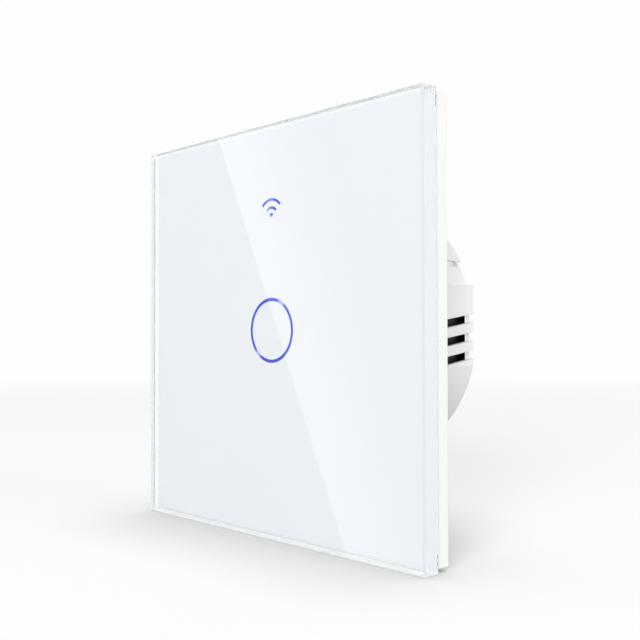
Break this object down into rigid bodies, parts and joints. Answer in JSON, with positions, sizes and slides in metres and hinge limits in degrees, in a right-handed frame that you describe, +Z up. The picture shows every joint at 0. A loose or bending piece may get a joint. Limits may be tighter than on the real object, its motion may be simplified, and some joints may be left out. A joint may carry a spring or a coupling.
{
  "type": "smart light switch",
  "caption": "Wall-box touch switch: square glass front with a lit touch ring on a plastic frame, square base plate and round rear housing with vents and screw terminals.",
  "frame": {"origin": "centre of the wall plane: on the rear face of the base plate, midway between the two box screw slots", "axes": "+Z up, +X right as seen from the front, +Y rearward into the wall, so the glass faces -Y"},
  "size_m": [0.086, 0.0348, 0.086],
  "materials": {
    "clear_glass": "clear float glass, polished, bevelled edges",
    "white_print": "white printed film",
    "blue_window": "translucent blue, lit from behind",
    "white_tape": "white foam tape",
    "white_plastic": "fine satin moulding",
    "plate_plastic": "fine spark-eroded moulding",
    "housing_plastic": "fine spark-eroded moulding",
    "zinc_steel": "zinc plated",
    "front_board": "solder mask",
    "rear_board": "solder mask",
    "grey_plastic": "satin moulding",
    "milky_plastic": "milky translucent",
    "spring_steel": "bright wire",
    "led_body": "white chip",
    "black_resin": "moulded resin",
    "gold_pin": "gold flash",
    "nickel_shield": "nickel silver sheet",
    "ferrite": "sintered ferrite",
    "yellow_tape": "polyester tape",
    "can_sleeve": "sleeved can",
    "film_resin": "moulded case",
    "blue_resin": "dipped resin",
    "green_ceramic": "lacquered",
    "brass": "plain brass",
    "relay_plastic": "moulded case",
    "copper_wire": "enamelled wire",
    "soft_iron": "plated soft iron",
    "copper_strip": "spring copper"
  },
  "bodies": {
    "wall_unit": {"base_plate": "plate_plastic", "rear_housing": "housing_plastic", "housing_screws": "zinc_steel", "touch_board": "front_board", "touch_board_screws": "zinc_steel", "light_box": "grey_plastic", "ring_diffuser": "milky_plastic", "signal_diffuser": "milky_plastic", "touch_spring": "spring_steel", "ring_leds": "led_body", "signal_led": "led_body", "touch_chip": "black_resin", "board_socket": "black_resin", "board_header": "black_resin", "header_pins": "gold_pin", "power_board": "rear_board", "radio_board": "front_board", "radio_shield": "nickel_shield", "transformer_core": "ferrite", "transformer_winding": "yellow_tape", "input_capacitor": "can_sleeve", "output_capacitor": "can_sleeve", "film_capacitor": "film_resin", "varistor": "blue_resin", "fuse_resistor": "green_ceramic", "rectifier": "black_resin", "terminal_block": "grey_plastic", "terminal_contacts": "brass", "relay_cover": "relay_plastic", "relay_base": "relay_plastic", "relay_coil": "copper_wire", "relay_yoke": "soft_iron", "relay_fixed_contact": "copper_strip"},
    "front_panel": {"glass_panel": "clear_glass", "backing_film": "white_print", "ring_window": "blue_window", "signal_window": "blue_window", "adhesive_tape": "white_tape", "front_frame": "white_plastic"},
    "relay_lever": {"relay_armature": "soft_iron", "contact_blade": "copper_strip"},
    "clamp_screw_1": {"terminal_screw_1": "zinc_steel"},
    "wire_clamp_1": {"clamp_cage_1": "brass"},
    "clamp_screw_2": {"terminal_screw_2": "zinc_steel"},
    "wire_clamp_2": {"clamp_cage_2": "brass"},
    "clamp_screw_3": {"terminal_screw_3": "zinc_steel"},
    "wire_clamp_3": {"clamp_cage_3": "brass"}
  },
  "joints": [
    {"name": "panel_pull", "type": "slide", "parent": "wall_unit", "child": "front_panel", "axis": [0, -1, 0], "range_m": [0, 0.02]},
    {"name": "terminal_turn_1", "type": "hinge", "parent": "wall_unit", "child": "clamp_screw_1", "pos_m": [-0.019, 0.0232, -0.0075], "axis": [0, -1, 0], "range_deg": [0, 1441]},
    {"name": "clamp_rise_1", "type": "slide", "parent": "wall_unit", "child": "wire_clamp_1", "axis": [0, 1, 0], "range_m": [0, 0.002]},
    {"name": "terminal_turn_2", "type": "hinge", "parent": "wall_unit", "child": "clamp_screw_2", "pos_m": [-0.019, 0.0232, 0], "axis": [0, -1, 0], "range_deg": [0, 1441]},
    {"name": "clamp_rise_2", "type": "slide", "parent": "wall_unit", "child": "wire_clamp_2", "axis": [0, 1, 0], "range_m": [0, 0.002]},
    {"name": "terminal_turn_3", "type": "hinge", "parent": "wall_unit", "child": "clamp_screw_3", "pos_m": [-0.019, 0.0232, 0.0075], "axis": [0, -1, 0], "range_deg": [0, 1441]},
    {"name": "clamp_rise_3", "type": "slide", "parent": "wall_unit", "child": "wire_clamp_3", "axis": [0, 1, 0], "range_m": [0, 0.002]},
    {"name": "relay_tilt", "type": "hinge", "parent": "wall_unit", "child": "relay_lever", "pos_m": [0.01952, 0.0213, 0.0061], "axis": [-1, 0, 0], "range_deg": [0, 2.8], "stiffness_Nm_per_rad": 0.0001, "springref_deg": -20.05}
  ],
  "couplings": [
    {"joint": "terminal_turn_1", "follows": "clamp_rise_1", "rad_per_m": 12566},
    {"joint": "terminal_turn_2", "follows": "clamp_rise_2", "rad_per_m": 12566},
    {"joint": "terminal_turn_3", "follows": "clamp_rise_3", "rad_per_m": 12566}
  ]
}
